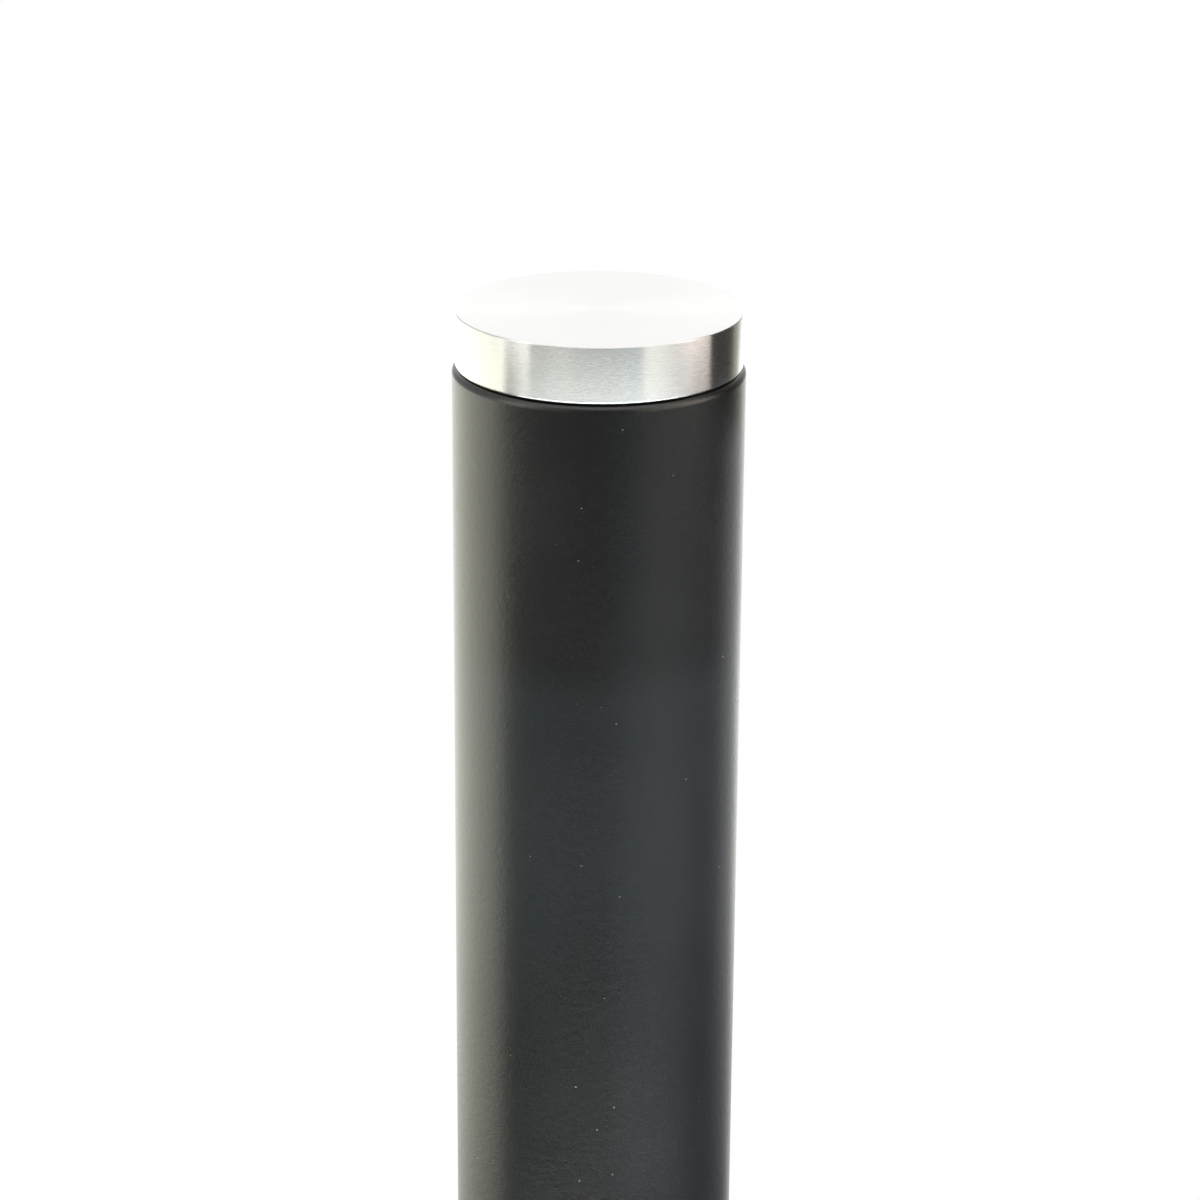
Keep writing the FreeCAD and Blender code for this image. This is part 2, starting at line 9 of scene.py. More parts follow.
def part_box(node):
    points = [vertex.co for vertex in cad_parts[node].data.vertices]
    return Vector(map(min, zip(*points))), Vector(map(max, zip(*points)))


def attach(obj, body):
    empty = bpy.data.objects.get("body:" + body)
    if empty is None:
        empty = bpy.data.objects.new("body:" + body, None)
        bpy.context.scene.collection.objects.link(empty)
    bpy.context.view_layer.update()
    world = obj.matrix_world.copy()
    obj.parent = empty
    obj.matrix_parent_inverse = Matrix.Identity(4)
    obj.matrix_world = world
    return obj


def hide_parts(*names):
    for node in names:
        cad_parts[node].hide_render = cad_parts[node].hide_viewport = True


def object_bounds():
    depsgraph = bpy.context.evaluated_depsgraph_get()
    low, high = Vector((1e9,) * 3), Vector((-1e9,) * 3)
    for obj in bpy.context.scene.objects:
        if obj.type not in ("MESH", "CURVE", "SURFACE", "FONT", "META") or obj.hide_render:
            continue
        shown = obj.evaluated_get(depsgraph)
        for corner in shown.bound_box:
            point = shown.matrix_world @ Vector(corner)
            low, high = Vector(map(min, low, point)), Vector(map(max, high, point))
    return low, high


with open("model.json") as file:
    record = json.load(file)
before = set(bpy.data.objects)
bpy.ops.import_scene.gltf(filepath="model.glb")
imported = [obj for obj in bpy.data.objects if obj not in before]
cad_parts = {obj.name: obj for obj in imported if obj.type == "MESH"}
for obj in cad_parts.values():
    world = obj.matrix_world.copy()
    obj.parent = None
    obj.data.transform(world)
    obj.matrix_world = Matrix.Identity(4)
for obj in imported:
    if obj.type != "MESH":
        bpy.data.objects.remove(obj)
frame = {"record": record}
cad_low, cad_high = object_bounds()

# Everything is in metres, in the frame's own axes: +Z up the post, origin in the middle of the foot.
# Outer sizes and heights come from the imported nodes, and the anchor holes from the record. Sizes that
# neither shows are named, here or in the function that makes the piece.

MM = 0.001
TURN = 2 * math.pi
TINY = 1e-9

# Segments round the turned pieces, the plates and the holes.
CAP_ROUND = 512
TUBE_ROUND = 384
ROUND = 256
OPENING_ROUND = 128
SMALL_ROUND = 96
HOLE_ROUND = 48


def bottom(node):
    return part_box(node)[0].z


def top(node):
    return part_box(node)[1].z


def reach(node):
    """The node's radius about the post's axis."""
    low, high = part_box(node)
    return max(high.x, high.y, -low.x, -low.y)


TUBE_R = reach("post_tube")
TUBE_WALL = 4.0 * MM
BORE_R = TUBE_R - TUBE_WALL
PLATE_TOP = top("base_plate")


# ---------------------------------------------------------------- camera

CAMERA_LENS_MM = 109.7
SENSOR_MM = 36.0
CAMERA_ELEVATION = math.radians(20.01)
CAMERA_DISTANCE = 1.291
CAMERA_ROLL = math.radians(0.39)
AIM_BELOW_TOP = 0.1066
AIM_RIGHT = 0.00089


def add_camera():
    """Looks along +Y and down on the head of the post."""
    lens = bpy.data.cameras.new("camera")
    lens.lens = CAMERA_LENS_MM
    lens.sensor_width = SENSOR_MM
    lens.clip_start = 0.05
    lens.clip_end = 100
    camera = bpy.data.objects.new("camera", lens)
    bpy.context.scene.collection.objects.link(camera)
    back = Vector((0, -math.cos(CAMERA_ELEVATION), math.sin(CAMERA_ELEVATION)))
    aim = Vector((AIM_RIGHT, 0, cad_high.z - AIM_BELOW_TOP))
    camera.location = aim + back * CAMERA_DISTANCE
    camera.rotation_mode = "QUATERNION"
    roll = Quaternion((0, 0, 1), CAMERA_ROLL)
    camera.rotation_quaternion = (-back).to_track_quat("-Z", "Y") @ roll
    bpy.context.scene.camera = camera


# ---------------------------------------------------------------- node trees


class Graph:
    """Short ways to add nodes to a tree and join them."""

    def __init__(self, tree):
        self.tree = tree

    def put(self, socket, value):
        """Joins a socket to another one, or gives it a value."""
        if isinstance(value, bpy.types.NodeSocket):
            self.tree.links.new(value, socket)
        else:
            socket.default_value = value

    def add(self, kind, inputs, **settings):
        node = self.tree.nodes.new(kind)
        for key, value in settings.items():
            setattr(node, key, value)
        for key, value in inputs.items():
            self.put(node.inputs[key], value)
        return node

    def math(self, operation, *values):
        return self.add("ShaderNodeMath", dict(enumerate(values)), operation=operation).outputs[0]

    def scaled(self, value, factor):
        return self.math("MULTIPLY", value, factor)

    def spread(self, value, at_zero, at_one):
        """Carries a value from 0 to 1 over to the range between two numbers."""
        return self.math("MULTIPLY_ADD", value, at_one - at_zero, at_zero)

    def total(self, *values):
        result = values[0]
        for value in values[1:]:
            result = self.math("ADD", result, value)
        return result

    def step(self, value, low, high):
        """Rises smoothly from 0 at low to 1 at high. It falls where low is the larger."""
        inputs = {"Value": value, "From Min": low, "From Max": high}
        ramp = self.add("ShaderNodeMapRange", inputs, interpolation_type="SMOOTHSTEP")
        return ramp.outputs["Result"]

    def between(self, value, low, high, soft):
        """1 between two limits, with soft edges centred on them."""
        rise = self.step(value, low - soft / 2, low + soft / 2)
        fall = self.step(value, high + soft / 2, high - soft / 2)
        return self.math("MULTIPLY", rise, fall)

    def mix(self, factor, first, second):
        node = self.add("ShaderNodeMix", {}, data_type="RGBA")
        self.put(node.inputs[0], factor)
        self.put(node.inputs[6], first)
        self.put(node.inputs[7], second)
        return node.outputs[2]

    def noise(self, vector, scale, detail):
        """Cloudy noise from 0 to 1, with this many waves to the metre."""
        inputs = {"Vector": vector, "Scale": scale, "Detail": detail}
        return self.add("ShaderNodeTexNoise", inputs).outputs["Fac"]

    def specks(self, vector, scale, radius, share):
        """Round dots in a share of the cells, of which so many go to the metre.

        A dot is 1 in its middle and fades to 0 at its edge. Dots are 0.4 to 1.4 times the radius.
        """
        cells = self.add("ShaderNodeTexVoronoi", {"Vector": vector, "Scale": scale})
        pick, vary, _ = self.add("ShaderNodeSeparateColor", {0: cells.outputs["Color"]}).outputs
        dot_r = self.spread(vary, 0.4 * radius * scale, 1.4 * radius * scale)
        outwards = self.math("DIVIDE", cells.outputs["Distance"], dot_r)
        dot = self.step(outwards, 1.0, 0.2)
        chosen = self.math("LESS_THAN", pick, share)
        return self.math("MULTIPLY", dot, chosen)

    def bump(self, micrometres):
        """A normal from a height in micrometres."""
        inputs = {"Height": micrometres, "Strength": 1.0, "Distance": 1e-6}
        return self.add("ShaderNodeBump", inputs).outputs["Normal"]


# ---------------------------------------------------------------- materials


def gray(value):
    return (value, value, value, 1.0)


def new_material(name):
    """A node material: its graph, its shader and the object's own coordinates."""
    made = bpy.data.materials.new(name)
    made.use_nodes = True
    graph = Graph(made.node_tree)
    shader = next(n for n in made.node_tree.nodes if n.type == "BSDF_PRINCIPLED")
    place = graph.add("ShaderNodeTexCoord", {}).outputs["Object"]
    return made, graph, shader, place


# A bluish-grey sheen, a painted reflection in the post's colour, begins a little below the head and
# thins out further down.
SHEEN_TOP = top("post_tube") - 88 * MM
SHEEN_FULL = 22 * MM  # it is at its full strength this far below its top
SHEEN_THINNING = 90 * MM
SHEEN_THIN = 160 * MM


def powder_coat(name, nib_share, painted_sheen_top):
    """Semi-matt black powder coat: orange peel, fine grain, nibs, pits, a little dust, and a bluish
    sheen painted in below the head as a painted reflection.
    """
    made, graph, shader, place = new_material(name)
    skin_height, nib_height, pit_depth = 70.0, 110.0, 120.0  # micrometres
    peel = graph.noise(place, scale=420, detail=1.5)
    grain = graph.noise(place, scale=2600, detail=1.0)
    nibs = graph.specks(place, scale=120, radius=0.42 * MM, share=nib_share)
    pits = graph.specks(place, scale=140, radius=0.34 * MM, share=nib_share * 0.7)
    height = graph.total(
        graph.scaled(peel, skin_height),
        graph.scaled(grain, skin_height),
        graph.scaled(nibs, nib_height),
        graph.scaled(pits, -pit_depth),
    )
    graph.put(shader.inputs["Normal"], graph.bump(height))

    cloud = graph.noise(place, scale=17, detail=4.0)
    mottle = graph.total(grain, graph.spread(cloud, -0.4, 0.4))
    black = graph.mix(mottle, (0.0015, 0.0015, 0.0014, 1), (0.0070, 0.0070, 0.0066, 1))
    # Painted reflection: a bluish-grey sheen is painted into the colour from a little below the head
    # downwards. It thins out lower down and is patchy with the grain.
    up = graph.add("ShaderNodeSeparateXYZ", {0: place}).outputs[2]
    begins = graph.step(up, painted_sheen_top, painted_sheen_top - SHEEN_FULL)
    thins = graph.spread(graph.step(up, painted_sheen_top - SHEEN_THIN, painted_sheen_top - SHEEN_THINNING), 0.25, 1.0)
    patchy = graph.spread(grain, 0.45, 0.95)
    painted_sheen = graph.math("MULTIPLY", graph.math("MULTIPLY", begins, thins), patchy)
    sheen_blue_grey = (0.016, 0.0195, 0.0215, 1)
    with_painted_sheen = graph.mix(painted_sheen, black, sheen_blue_grey)
    dust = graph.specks(place, scale=160, radius=0.38 * MM, share=0.22)
    dust_colour = (0.30, 0.295, 0.28, 1)
    graph.put(shader.inputs["Base Color"], graph.mix(dust, with_painted_sheen, dust_colour))

    # Dust and the pits are duller than the coat.
    coat_rough = graph.spread(cloud, 0.245, 0.345)
    rough = graph.total(coat_rough, graph.scaled(dust, 0.3), graph.scaled(pits, 0.65))
    graph.put(shader.inputs["Roughness"], rough)
    shader.inputs["IOR"].default_value = 1.65
    return made


def turned_steel(name, rough, anisotropy, mark_tilt, band_height):
    """Polished stainless steel with the fine round marks of the lathe."""
    made, graph, shader, place = new_material(name)
    x, y, z = graph.add("ShaderNodeSeparateXYZ", {0: place}).outputs
    flat = graph.add("ShaderNodeCombineXYZ", {0: x, 1: y}).outputs[0]
    radius = graph.add("ShaderNodeVectorMath", {0: flat}, operation="LENGTH").outputs["Value"]
    # The marks run round the axis: they change fast with radius and height, and slowly round it.
    drift = graph.scaled(graph.math("DIVIDE", x, radius), 0.9 * MM)
    marks_at = graph.add("ShaderNodeCombineXYZ", {0: radius, 1: z, 2: drift}).outputs[0]
    marks = graph.noise(marks_at, scale=30000, detail=1.0)
    bands = graph.noise(marks_at, scale=900, detail=3.0)
    banded = graph.bump(graph.scaled(bands, band_height))
    # The finest marks can tip the surface up and down, which spreads a reflection along the axis.
    tilt = graph.spread(marks, -mark_tilt / 2, mark_tilt / 2)
    tipped = graph.add("ShaderNodeCombineXYZ", {2: tilt}).outputs[0]
    leaning = graph.add("ShaderNodeVectorMath", {0: banded, 1: tipped}, operation="ADD").outputs[0]
    normal = graph.add("ShaderNodeVectorMath", {0: leaning}, operation="NORMALIZE").outputs[0]
    graph.put(shader.inputs["Normal"], normal)
    stain = graph.noise(place, scale=35, detail=3.0)
    tone = graph.mix(stain, (0.73, 0.73, 0.72, 1), (0.78, 0.775, 0.765, 1))
    graph.put(shader.inputs["Base Color"], tone)
    graph.put(shader.inputs["Roughness"], graph.spread(marks, rough - 0.025, rough + 0.025))
    shader.inputs["Metallic"].default_value = 1.0
    shader.inputs["Anisotropic"].default_value = anisotropy
    shader.inputs["Anisotropic Rotation"].default_value = 0.25
    round_axis = graph.add("ShaderNodeTangent", {}, direction_type="RADIAL", axis="Z")
    graph.put(shader.inputs["Tangent"], round_axis.outputs[0])
    return made


def moulded(name, dark, light, rough, grain_scale, grain_height):
    """Matt stuff, such as nylon, rubber or primer: two tones, a fine grain and small pits."""
    made, graph, shader, place = new_material(name)
    cloud = graph.noise(place, scale=60, detail=4.0)
    graph.put(shader.inputs["Base Color"], graph.mix(cloud, dark, light))
    graph.put(shader.inputs["Roughness"], graph.spread(cloud, rough - 0.08, rough + 0.08))
    grain = graph.noise(place, grain_scale, detail=3.0)
    pits = graph.specks(place, scale=300, radius=0.2 * MM, share=0.12)
    height = graph.total(graph.scaled(grain, grain_height), graph.scaled(pits, -grain_height))
    graph.put(shader.inputs["Normal"], graph.bump(height))
    return made


def zinc_plate():
    """Bright zinc on fasteners, with a faint yellow and blue passivation and dull spots."""
    made, graph, shader, place = new_material("zinc_plate")
    tint = graph.noise(place, scale=140, detail=3.0)
    bluish, yellowish = (0.62, 0.64, 0.68, 1), (0.70, 0.68, 0.60, 1)
    graph.put(shader.inputs["Base Color"], graph.mix(tint, bluish, yellowish))
    spots = graph.noise(place, scale=420, detail=4.0)
    graph.put(shader.inputs["Roughness"], graph.spread(spots, 0.18, 0.43))
    spot_height = 4.0
    graph.put(shader.inputs["Normal"], graph.bump(graph.scaled(spots, spot_height)))
    shader.inputs["Metallic"].default_value = 1.0
    return made


# ---------------------------------------------------------------- mesh builders


def arc(centre, radius, start, end, steps):
    """Points along an arc, by angles in degrees. The arc includes both ends."""
    angles = [math.radians(start + (end - start) * i / steps) for i in range(steps + 1)]
    return [(centre[0] + radius * math.cos(a), centre[1] + radius * math.sin(a)) for a in angles]


def join_rings(mesh, rings, closed_along, closed_round):
    """Faces between neighbouring rings of vertices. A ring of one vertex is a pole."""
    following = rings[1:] + rings[:1] if closed_along else rings[1:]
    for first, second in zip(rings, following):
        count = max(len(first), len(second))
        for i in range(count if closed_round else count - 1):
            j = (i + 1) % count
            corners = [first[i % len(first)], first[j % len(first)]]
            corners += [second[j % len(second)], second[i % len(second)]]
            corners = list(dict.fromkeys(corners))
            if len(corners) > 2:
                mesh.faces.new(corners)


def is_whole(sweep):
    return abs(sweep - TURN) < TINY


def lathe(outline, segments=ROUND, start=0.0, sweep=TURN):
    """Turns a closed outline of (radius, height) points about Z. A part turn gets flat ends."""
    mesh = bmesh.new()
    whole = is_whole(sweep)
    count = segments if whole else segments + 1
    angles = [start + sweep * i / segments for i in range(count)]
    rings = []
    for radius, height in outline:
        around = angles if radius > TINY else angles[:1]
        spots = [(radius * math.cos(a), radius * math.sin(a), height) for a in around]
        rings.append([mesh.verts.new(spot) for spot in spots])
    join_rings(mesh, rings, closed_along=True, closed_round=whole)
    if not whole:
        mesh.faces.new([ring[0] for ring in rings])
        mesh.faces.new([ring[-1] for ring in rings])
    return mesh


def inset(loop, distance):
    """Moves a closed loop's edges by a distance: inwards on an outline, outwards on a hole."""
    moved = []
    for before, here, after in zip(loop[-1:] + loop[:-1], loop, loop[1:] + loop[:1]):
        first = Vector((here[0] - before[0], here[1] - before[1])).normalized()
        second = Vector((after[0] - here[0], after[1] - here[1])).normalized()
        normal = Vector((-first.y - second.y, first.x + second.x)).normalized()
        # The sharper the corner, the further it moves, up to a limit.
        shift = distance / max(0.3, normal.dot(Vector((-first.y, first.x))))
        moved.append((here[0] + normal.x * shift, here[1] + normal.y * shift))
    return moved


def ring_loop(centre_x, centre_y, radius, segments, clockwise=False):
    turn = -TURN if clockwise else TURN
    angles = [turn * i / segments for i in range(segments)]
    return [(centre_x + radius * math.cos(a), centre_y + radius * math.sin(a)) for a in angles]


def plate(loops, low, high, edge):
    """A flat piece with rounded edges, from an anticlockwise outline and clockwise holes."""
    mesh = bmesh.new()
    steps = 3
    angles = [math.pi / 2 * i / steps for i in range(steps + 1)]
    # Each level of the rounded wall: how far it is set in, and its height.
    levels = [(edge * (1 - math.sin(a)), low + edge * (1 - math.cos(a))) for a in angles]
    levels += [(edge * (1 - math.cos(a)), high - edge * (1 - math.sin(a))) for a in angles]
    ends = {low: [], high: []}
    for loop in loops:
        rings = [
            [mesh.verts.new((x, y, height)) for x, y in inset(loop, shift)]
            for shift, height in levels
        ]
        join_rings(mesh, rings, closed_along=False, closed_round=True)
        for end, ring in ((low, rings[0]), (high, rings[-1])):
            ends[end] += [mesh.edges.get(pair) for pair in zip(ring, ring[1:] + ring[:1])]
    for edges in ends.values():
        bmesh.ops.triangle_fill(mesh, use_beauty=True, use_dissolve=False, edges=edges)
    return mesh


# A weld's scales: the length of each, and how far the bead and its scales swell, all over its leg.
SCALE_LENGTH = 0.42
BEAD_SWELL = 0.04
SCALE_SWELL = 0.075
STATIONS_PER_SCALE = 7


def ripple(scales, across):
    """Height of a weld's scales, 0 to 1, so many scales along the bead and at a share across it."""
    trail = 0.55 * (2 * across - 1) ** 2  # each scale is a crescent that trails at the bead's sides
    wobble = 0.12 * math.sin(scales * 1.7) + 0.08 * math.sin(scales * 0.61)
    rise = (scales + trail + wobble) % 1.0
    return rise**0.6 * (1 - rise**6)


def bead(mesh, stations, leg, closed):
    """A fillet weld along stations of (corner, first leg, second leg, distance along)."""
    steps = 10
    rings = []
    for corner, first, second, along in stations:
        bisector = (first + second).normalized()
        scales = along / (SCALE_LENGTH * leg)
        ring = [mesh.verts.new(corner)]
        for i in range(steps + 1):
            across = i / steps
            swell = BEAD_SWELL + SCALE_SWELL * ripple(scales, across)
            height = leg * math.sin(math.pi * across) * swell
            spot = corner + first * leg * (1 - across) + second * leg * across
            ring.append(mesh.verts.new(spot + bisector * height))
        rings.append(ring)
    join_rings(mesh, rings, closed_along=closed, closed_round=True)
    if not closed:
        mesh.faces.new(rings[0])
        mesh.faces.new(rings[-1])


def station_count(length, leg):
    return round(length / (SCALE_LENGTH * leg) * STATIONS_PER_SCALE)


def round_stations(radius, height, outwards, start, sweep, leg):
    """Stations of a fillet round the axis, on a flat face. Outwards is 1 outside a tube, -1 inside."""
    count = station_count(sweep * radius, leg)
    up = Vector((0, 0, 1))
    stations = []
    for i in range(count if is_whole(sweep) else count + 1):
        turned = sweep * i / count
        out = Vector((math.cos(start + turned), math.sin(start + turned), 0))
        stations.append((out * radius + up * height, out * outwards, up, radius * turned))
    return stations


def straight_stations(corner, direction, length, first, second, leg):
    count = station_count(length, leg)
    return [
        (corner + direction * length * i / count, first, second, length * i / count)
        for i in range(count + 1)
    ]


def threaded_rod(low, high, radius, pitch, bevel):
    """A rod with a helical thread that runs out at its two bevelled ends."""
    mesh = bmesh.new()
    depth = 0.6134 * pitch  # an outer metric thread's
    root, flanks = 0.125, 0.75  # their shares of the pitch
    rows_per_pitch = 10
    segments = 48
    rows = round((high - low) / pitch * rows_per_pitch)
    rings = [[mesh.verts.new((0, 0, low))]]
    for row in range(rows + 1):
        height = low + (high - low) * row / rows
        limit = radius - bevel + min(height - low, high - height, bevel)
        ring = []
        for i in range(segments):
            angle = TURN * i / segments
            phase = (height / pitch - i / segments) % 1.0
            rise = min(1.0, max(0.0, (abs(phase - 0.5) * 2 - root) / flanks))
            spot_r = min(limit, radius - depth * (1 - rise))
            ring.append(mesh.verts.new((spot_r * math.cos(angle), spot_r * math.sin(angle), height)))
        rings.append(ring)
    rings.append([mesh.verts.new((0, 0, high))])
    join_rings(mesh, rings, closed_along=False, closed_round=True)
    return mesh


def add_object(name, mesh):
    """Puts a finished mesh in the scene."""
    data = bpy.data.meshes.new(name)
    mesh.to_mesh(data)
    mesh.free()
    added = bpy.data.objects.new(name, data)
    bpy.context.scene.collection.objects.link(added)
    return added


def place_piece(name, mesh, material, body, replaced, sharp=35.0):
    """Makes the mesh an object that rides on a body and stands for the CAD nodes that it replaces.

    Faces that meet at more than the sharp angle, in degrees, keep a hard edge in the shading.
    """
    bmesh.ops.recalc_face_normals(mesh, faces=mesh.faces)
    piece = add_object(name, mesh)
    for polygon in piece.data.polygons:
        polygon.use_smooth = True
    piece.data.set_sharp_from_angle(angle=math.radians(sharp))
    piece.data.materials.append(material)
    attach(piece, body)
    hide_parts(*replaced)
    return piece


# ---------------------------------------------------------------- head of the post

SEAL_HALF = 1.75 * MM
THREAD_HOLE_R = 6.05 * MM  # the cap's tapped hole and the nut's


def post_tube(material):
    """The post, with its rounded rim."""
    low, rim = bottom("post_tube"), top("post_tube")
    rounding = 2.5 * MM
    chamfer = 0.5 * MM
    outline = [(BORE_R, low), (TUBE_R, low)]
    outline += arc((TUBE_R - rounding, rim - rounding), rounding, 0, 90, 16)
    outline += [(BORE_R + chamfer, rim), (BORE_R, rim - chamfer)]
    piece = lathe(outline, TUBE_ROUND)
    return place_piece("post", piece, material, "post", ["post_tube"])


def cap(side_material, face_material):
    """The thick disc, with a fine bevel above and a rounded edge below."""
    low, high, radius = bottom("cap"), top("cap"), reach("cap")
    bevel = 0.4 * MM
    rounding = 0.8 * MM
    recess_r, recess_top = 15.2 * MM, low + 3.2 * MM
    # The blind tapped hole ends in a drill's cone.
    tap_r, tap_top, tap_tip = THREAD_HOLE_R, high - 7.63 * MM, high - 4.0 * MM
    outline = [(0, tap_tip), (tap_r, tap_top), (tap_r, recess_top)]
    outline += [(recess_r, recess_top), (recess_r, low)]
    outline += arc((radius - rounding, low + rounding), rounding, -90, 0, 10)
    outline += arc((radius - bevel, high - bevel), bevel, 0, 90, 6)
    # Rings on the top face keep its shading even.
    outline += [(radius * share, high) for share in (0.9, 0.6, 0.3)]
    outline += [(0, high)]
    mesh = lathe(outline, CAP_ROUND)
    for face in mesh.faces:
        if all(vertex.co.z > high - 0.001 * MM for vertex in face.verts):
            face.material_index = 1
    piece = place_piece("cap_disc", mesh, side_material, "post", ["cap"])
    piece.data.materials.append(face_material)
    return piece


def cap_plug(material):
    """The nylon plug: boss, flange, two seal grooves and a hollow skirt."""
    low, boss_top, rim = bottom("cap_plug"), top("cap_plug"), top("post_tube")
    underside = bottom("cap")
    flange_r = reach("cap_plug")
    plug_r = BORE_R - 0.25 * MM
    boss_r, hole_r, skirt_r = 15 * MM, 6.3 * MM, plug_r - 8 * MM
    groove_r, groove_half = plug_r - 3.35 * MM, 2.05 * MM
    web_low = underside - 6 * MM
    edge = 0.3 * MM
    lead_in = 1 * MM
    outline = [(hole_r, boss_top)]
    outline += arc((boss_r - edge, boss_top - edge), edge, 90, 0, 4)
    outline += [(boss_r, underside), (flange_r - edge / 2, underside)]
    outline += arc((flange_r - edge, (underside + rim) / 2), edge, 60, -60, 6)
    outline += [(flange_r - edge / 2, rim), (plug_r, rim)]
    for middle in seal_heights():
        outline += [(plug_r, middle + groove_half), (groove_r, middle + groove_half)]
        outline += [(groove_r, middle - groove_half), (plug_r, middle - groove_half)]
    outline += arc((plug_r - lead_in, low + lead_in), lead_in, 0, -90, 6)
    outline += [(skirt_r, low), (skirt_r, web_low), (hole_r, web_low)]
    piece = lathe(outline)
    return place_piece("plug", piece, material, "post", ["cap_plug"])


def seal_heights():
    """Upper ring, then lower ring."""
    return [top("plug_seals") - SEAL_HALF, bottom("plug_seals") + SEAL_HALF]


def plug_seals(material):
    """Two O-rings with the fine flash line of their mould."""
    mesh = bmesh.new()
    gap = 0.05 * MM
    flash = 0.04 * MM
    middle_r = BORE_R - gap - SEAL_HALF
    for height in seal_heights():
        circle = arc((middle_r, height), SEAL_HALF, 0, 360, 24)[:-1]
        circle[0] = (middle_r + SEAL_HALF + flash, height)
        ring = lathe(circle)
        ring_mesh = bpy.data.meshes.new("ring")
        ring.to_mesh(ring_mesh)
        ring.free()
        mesh.from_mesh(ring_mesh)
        bpy.data.meshes.remove(ring_mesh)
    return place_piece("o_rings", mesh, material, "post", ["plug_seals"])


# ---------------------------------------------------------------- cap's fixing


def bridge_bar(material):
    """The bar across the bore, with a rounded end at each side and a hole for the stud."""
    low, high = bottom("bridge_bar"), top("bridge_bar")
    end_r = reach("bridge_bar")
    half_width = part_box("bridge_bar")[1].y
    half_angle = math.degrees(math.asin(half_width / end_r))
    outline = arc((0, 0), end_r, -half_angle, half_angle, 24)
    outline += arc((0, 0), end_r, 180 - half_angle, 180 + half_angle, 24)
    hole_r = 6.75 * MM
    hole = ring_loop(0, 0, hole_r, HOLE_ROUND, clockwise=True)
    edge = 0.5 * MM
    piece = plate([outline, hole], low, high, edge)
    return place_piece("bar", piece, material, "post", ["bridge_bar"])


def bridge_welds(material):
    """A rippled fillet along each end of the bar."""
    mesh = bmesh.new()
    height = bottom("bridge_welds")
    leg = top("bridge_welds") - height
    half_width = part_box("bridge_welds")[1].y
    half_angle = math.asin(half_width / BORE_R)
    for middle in (0, math.pi):
        stations = round_stations(BORE_R, height, -1, middle - half_angle, 2 * half_angle, leg)
        bead(mesh, stations, leg, closed=False)
    return place_piece("bar_welds", mesh, material, "post", ["bridge_welds"], 60)


def cap_stud(material):
    low, high = bottom("cap_stud"), top("cap_stud")
    piece = threaded_rod(low, high, reach("cap_stud"), pitch=1.75 * MM, bevel=1.2 * MM)
    return place_piece("stud", piece, material, "post", ["cap_stud"], 50)


def rounded_section(inner, outer, low, high, edge):
    """A rectangle of radius and height with rounded corners."""
    outline = arc((outer - edge, low + edge), edge, -90, 0, 4)
    outline += arc((outer - edge, high - edge), edge, 0, 90, 4)
    outline += arc((inner + edge, high - edge), edge, 90, 180, 4)
    outline += arc((inner + edge, low + edge), edge, 180, 270, 4)
    return outline


def cap_washer(material):
    """The flat washer."""
    low, high = bottom("cap_washer"), top("cap_washer")
    hole_r = 6.5 * MM
    section = rounded_section(hole_r, reach("cap_washer"), low, high, edge=0.35 * MM)
    piece = lathe(section, SMALL_ROUND)
    return place_piece("washer", piece, material, "post", ["cap_washer"])


def cap_spring_washer(material):
    """The split washer, with its slit towards -X."""
    low, high = bottom("cap_spring_washer"), top("cap_spring_washer")
    hole_r = 6.2 * MM
    section = rounded_section(hole_r, reach("cap_spring_washer"), low, high, edge=0.3 * MM)
    half_slit = math.radians(6)
    piece = lathe(section, SMALL_ROUND, half_slit - math.pi, TURN - 2 * half_slit)
    return place_piece(
        "split_washer", piece, material, "post", ["cap_spring_washer"]
    )


def cap_nut(material):
    """The hexagon nut: flats cut on a blank whose corners are bevelled at 30 degrees."""
    low, high = bottom("cap_nut"), top("cap_nut")
    flat_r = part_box("cap_nut")[1].x
    face_r = flat_r * 0.985  # beyond this radius the corners fall away
    lead_in = 0.6 * MM
    segments = 120
    angles = [TURN * i / segments for i in range(segments)]
    sixth = math.radians(60)
    hexagon = [flat_r / math.cos((a + sixth / 2) % sixth - sixth / 2) for a in angles]
    falls = [max(0.0, radius - face_r) * math.tan(math.radians(30)) for radius in hexagon]
    mesh = bmesh.new()

    def ring(radii, heights):
        spots = zip(angles, radii, heights)
        return [mesh.verts.new((r * math.cos(a), r * math.sin(a), z)) for a, r, z in spots]

    def circle(radius, height):
        return ring([radius] * segments, [height] * segments)

    rings = [
        circle(THREAD_HOLE_R, low + lead_in),
        circle(THREAD_HOLE_R + lead_in, low),
        circle(face_r, low),
        ring(hexagon, [low + fall for fall in falls]),
        ring(hexagon, [high - fall for fall in falls]),
        circle(face_r, high),
        circle(THREAD_HOLE_R + lead_in, high),
        circle(THREAD_HOLE_R, high - lead_in),
    ]
    join_rings(mesh, rings, closed_along=True, closed_round=True)
    return place_piece("nut", mesh, material, "post", ["cap_nut"], 20)


# ---------------------------------------------------------------- foot of the post

ANCHORS = next(m for m in frame["record"]["mounts"] if m["name"] == "anchor_holes")["dims"]
ANCHOR_CIRCLE_R = ANCHORS["pcd_mm"] / 2 * MM
ANCHOR_HOLE_R = ANCHORS["hole_r_mm"] * MM
GUSSET_SIDES = ("right", "back", "left", "front")
GUSSET_SNIPE = 12 * MM  # the corner cut away over the foot weld


